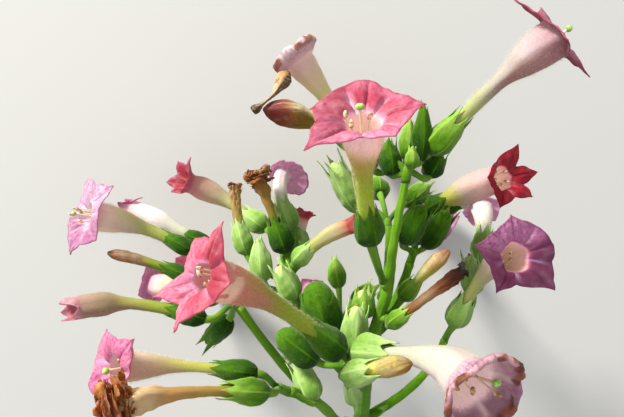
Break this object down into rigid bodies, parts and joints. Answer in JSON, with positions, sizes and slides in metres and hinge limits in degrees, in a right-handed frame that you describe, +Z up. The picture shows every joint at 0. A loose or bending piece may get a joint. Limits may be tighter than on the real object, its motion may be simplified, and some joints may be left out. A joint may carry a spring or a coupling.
{
  "type": "cut tobacco flower head",
  "caption": "Cut flowering head of a tobacco plant: trumpet blooms, buds, seed pods and green calyces on a branched stem, lying on its back blooms and its slanting cut.",
  "frame": {"origin": "middle of the underside of the head as it lies: half way across and half way along its box, at the height of the surface", "axes": "+Y runs along the head from the cut to the topmost bloom, +X across it, +Z up from the surface"},
  "size_m": [0.1824, 0.2532, 0.1604],
  "materials": {
    "stem": "fresh green bark, finely hairy",
    "calyx": "soft hairy green leaf tissue",
    "petal_pink": "soft thin petal, matte with a faint sheen",
    "petal_mauve": "soft thin petal, matte with a faint sheen",
    "petal_crimson": "soft thin petal, matte with a faint sheen",
    "petal_cream": "soft closed petals, matte",
    "dry_petal": "dry crumpled petal, matte"
  },
  "bodies": {
    "root": {"main_stem": "stem", "branch_left": "stem", "branch_left_upper": "stem", "branch_lower_left": "stem", "branch_front": "stem", "branch_right": "stem", "branch_right_low": "stem", "branch_back": "stem", "branch_back_top": "stem", "cluster_top": "calyx", "cluster_center": "calyx", "cluster_left": "calyx", "cluster_left_upper": "calyx", "cluster_lower_left": "calyx", "cluster_front": "calyx", "cluster_right_mid": "calyx", "cluster_right": "calyx", "cluster_right_low": "calyx", "cluster_back": "calyx", "cluster_back_top": "calyx", "bloom_center": "petal_pink", "bloom_front": "petal_pink", "bloom_upper_right": "petal_pink", "bloom_left": "petal_pink", "bloom_left_back": "petal_pink", "bloom_left_top": "petal_pink", "bloom_drooping": "petal_mauve", "bloom_lower_left": "petal_pink", "bloom_right": "petal_crimson", "bloom_white_tube": "petal_mauve", "bloom_purple": "petal_crimson", "bloom_back_left": "petal_pink", "bloom_back_mid": "petal_pink", "bloom_back_right": "petal_pink", "bloom_back_top": "petal_pink", "bloom_wilting_top": "petal_mauve", "bloom_left_opening": "petal_mauve", "bloom_lower_right": "petal_mauve", "bud_red_tip": "petal_crimson", "bud_brown_tip": "petal_cream", "bloom_left_closing": "petal_pink", "bud_small_red": "petal_crimson", "bud_cream_curved": "petal_cream", "bud_yellow_brown": "petal_cream", "bud_cream_right": "petal_cream", "bud_white_right": "petal_cream", "dry_bloom_top": "dry_petal", "dry_bloom_side": "dry_petal", "dry_bloom_left": "dry_petal", "dry_bloom_right": "dry_petal", "dry_strand": "dry_petal"}
  },
  "joints": []
}
